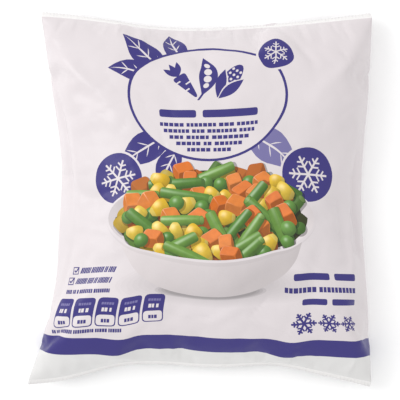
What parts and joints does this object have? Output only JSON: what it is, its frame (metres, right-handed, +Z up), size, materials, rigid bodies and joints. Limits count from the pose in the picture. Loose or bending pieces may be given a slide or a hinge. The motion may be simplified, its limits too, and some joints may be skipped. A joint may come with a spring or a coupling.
{
  "type": "frozen vegetable bag",
  "caption": "Sealed pillow bag of frozen mixed vegetables lying on its back, with crimped end seals, a lap seam down the back and a picture of a bowl of vegetables on the front.",
  "frame": {"origin": "on the surface the bag lies on, under the centre of its bounding box", "axes": "+X across the front to the reader's right, +Y up the front towards the top seal, +Z up from the surface, out of the printed front"},
  "size_m": [0.1596, 0.175, 0.0377],
  "materials": {
    "film": "thin white plastic film with a soft gloss, printed on the front"
  },
  "bodies": {
    "root": {"bag": "film"}
  },
  "joints": []
}
